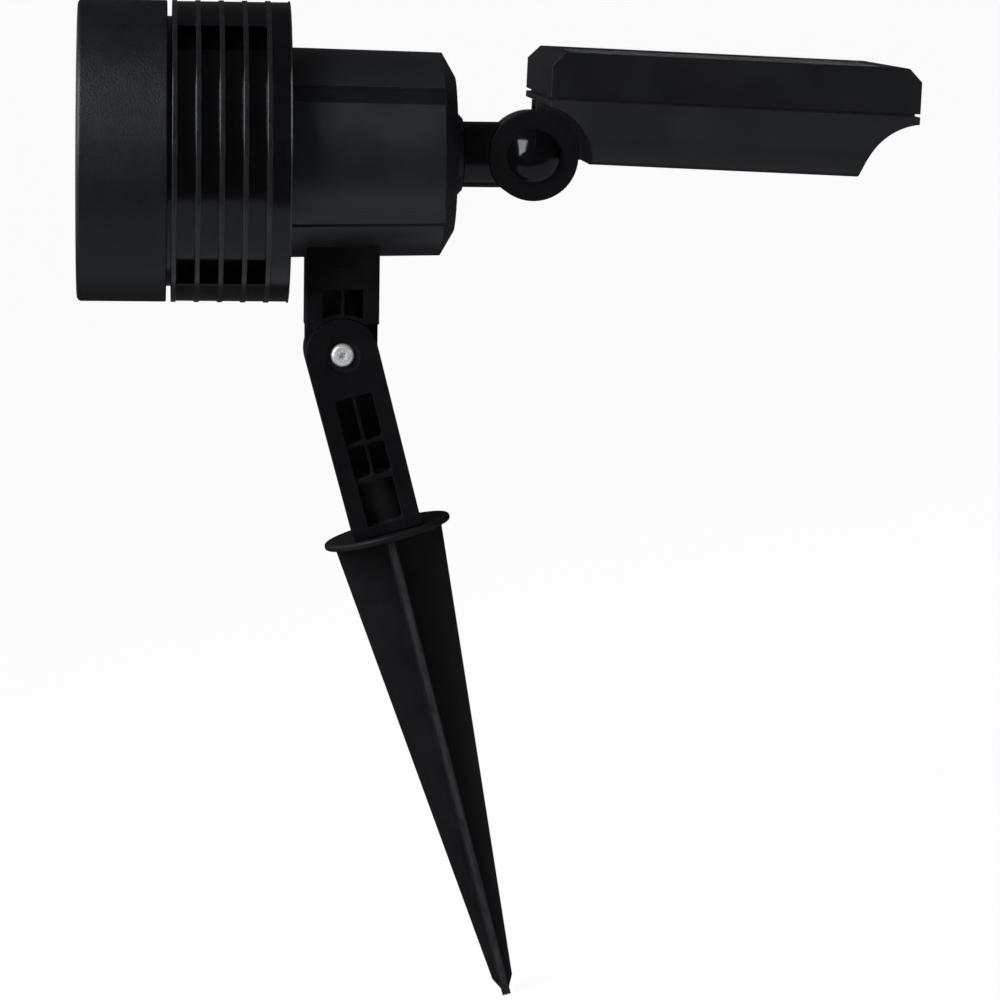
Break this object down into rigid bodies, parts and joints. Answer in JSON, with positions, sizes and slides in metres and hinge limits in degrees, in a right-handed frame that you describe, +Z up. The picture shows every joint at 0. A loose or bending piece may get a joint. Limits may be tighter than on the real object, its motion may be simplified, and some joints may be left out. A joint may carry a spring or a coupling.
{
  "type": "solar garden spotlight",
  "caption": "Solar garden spotlight on a ground spike: round finned lamp head on a tilting arm, with a tilting and swivelling solar panel behind it.",
  "frame": {"origin": "centre of the underside of the spike's round flange, level with the ground", "axes": "+Z up along the spike's axis; -X is the way the lamp shines at rest; Y lies along the tilt axes"},
  "size_m": [0.2937, 0.104, 0.3742],
  "materials": {
    "spike_plastic": "moulded, fine grain with flash marks",
    "arm_plastic": "moulded, satin",
    "bezel_plastic": "moulded, fine pebble grain",
    "body_plastic": "moulded, satin",
    "panel_plastic": "moulded, fine grain",
    "knuckle_plastic": "moulded, glossy",
    "cradle_plastic": "moulded, plain",
    "washer_plastic": "plain",
    "component_plastic": "moulded, plain",
    "emitter_plastic": "clear dome over yellow phosphor",
    "button_rubber": "matte",
    "seal_rubber": "matte",
    "lead_rubber": "satin",
    "clear_glass": "clear, polished",
    "reflector_chrome": "bright vacuum plated",
    "board_aluminium": "white coated core board",
    "zinc_steel": "bright zinc plated",
    "cell_wrap": "shrink wrap",
    "cell_silicon": "dark blue cells with silver lines",
    "board_laminate": "coated glass-fibre board"
  },
  "bodies": {
    "spike": {"ground_spike": "spike_plastic"},
    "arm": {"lower_arm": "arm_plastic", "tilt_screw": "zinc_steel", "tilt_washer": "zinc_steel", "tilt_nut": "zinc_steel"},
    "head": {"head_bracket": "arm_plastic", "front_bezel": "bezel_plastic", "front_lens": "clear_glass", "lens_gasket": "seal_rubber", "reflector": "reflector_chrome", "lamp_board": "board_aluminium", "led_emitters": "emitter_plastic", "board_screws": "zinc_steel", "finned_housing": "body_plastic", "housing_gasket": "seal_rubber", "rear_housing": "body_plastic", "housing_screws": "zinc_steel", "bracket_screws": "zinc_steel", "battery_cell_near": "cell_wrap", "battery_cell_far": "cell_wrap", "battery_cradle": "cradle_plastic", "driver_board": "board_laminate", "driver_parts": "component_plastic", "lamp_lead": "lead_rubber"},
    "knuckle": {"knuckle_stub": "knuckle_plastic", "swivel_ring": "cradle_plastic", "swivel_seal": "seal_rubber"},
    "panel": {"panel_tray": "panel_plastic", "panel_frame": "panel_plastic", "panel_gasket": "seal_rubber", "panel_window": "clear_glass", "solar_cells": "cell_silicon", "cell_backing": "board_laminate", "panel_screws": "zinc_steel", "knuckle_bolt": "zinc_steel", "knuckle_nut": "zinc_steel", "knuckle_washers": "washer_plastic", "knuckle_cap_near": "knuckle_plastic", "knuckle_cap_far": "knuckle_plastic", "push_switch": "component_plastic", "switch_seal": "seal_rubber"},
    "switch": {"switch_button": "button_rubber"}
  },
  "joints": [
    {"name": "arm_swivel", "type": "hinge", "parent": "spike", "child": "arm", "pos_m": [0, 0, 0.0125], "axis": [0, 0, 1], "continuous": true},
    {"name": "head_tilt", "type": "hinge", "parent": "arm", "child": "head", "pos_m": [0, 0, 0.066], "axis": [0, 1, 0], "range_deg": [-60, 45]},
    {"name": "panel_swivel", "type": "hinge", "parent": "head", "child": "knuckle", "pos_m": [0.08071, 0, 0.11529], "axis": [0.9659, 0, -0.2588], "range_deg": [-90, 90]},
    {"name": "panel_tilt", "type": "hinge", "parent": "knuckle", "child": "panel", "pos_m": [0.08071, 0, 0.11529], "axis": [0, 1, 0], "range_deg": [-40, 60]},
    {"name": "switch_press", "type": "slide", "parent": "panel", "child": "switch", "axis": [0.2924, 0, 0.9563], "range_m": [0, 0.0015], "stiffness_N_per_m": 600, "springref_m": -0.001}
  ]
}
